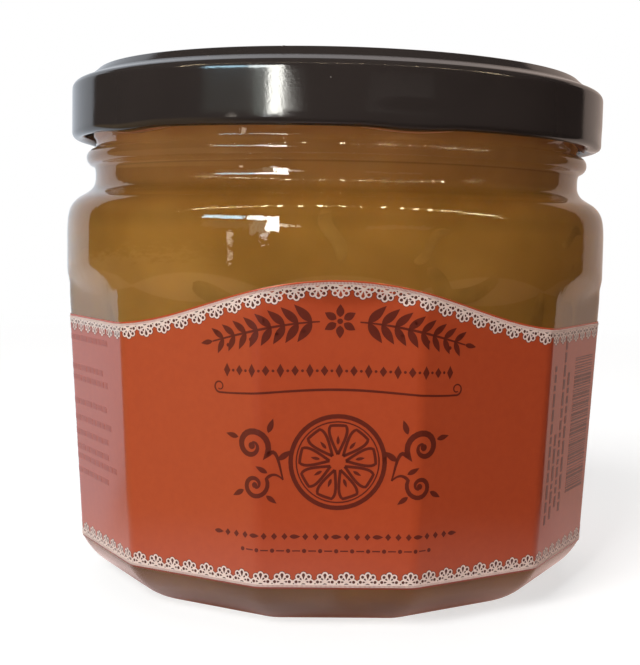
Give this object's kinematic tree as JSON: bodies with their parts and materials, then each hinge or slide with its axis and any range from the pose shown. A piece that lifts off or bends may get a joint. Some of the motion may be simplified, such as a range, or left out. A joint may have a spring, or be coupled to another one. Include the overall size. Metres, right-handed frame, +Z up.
{
  "type": "marmalade jar",
  "caption": "Shut clear glass jar of amber marmalade: round shoulder, flat tapering sides, black twist-off lid and an orange wrap label with lace borders.",
  "frame": {"origin": "on the floor, under the jar's axis", "axes": "+Z up along the jar's axis; -Y out of the side that carries the middle of the label"},
  "size_m": [0.087, 0.0872, 0.0796],
  "materials": {
    "glass": "clear, glossy, pressed glass with slight waves",
    "marmalade": "dense amber jelly with pale peel in it",
    "lid_lacquer": "glossy black lacquer on tinplate, fine orange peel",
    "label_paper": "smooth coated paper with a soft gloss"
  },
  "bodies": {
    "root": {"glass_jar": "glass", "marmalade": "marmalade", "lid": "lid_lacquer", "label": "label_paper"}
  },
  "joints": []
}
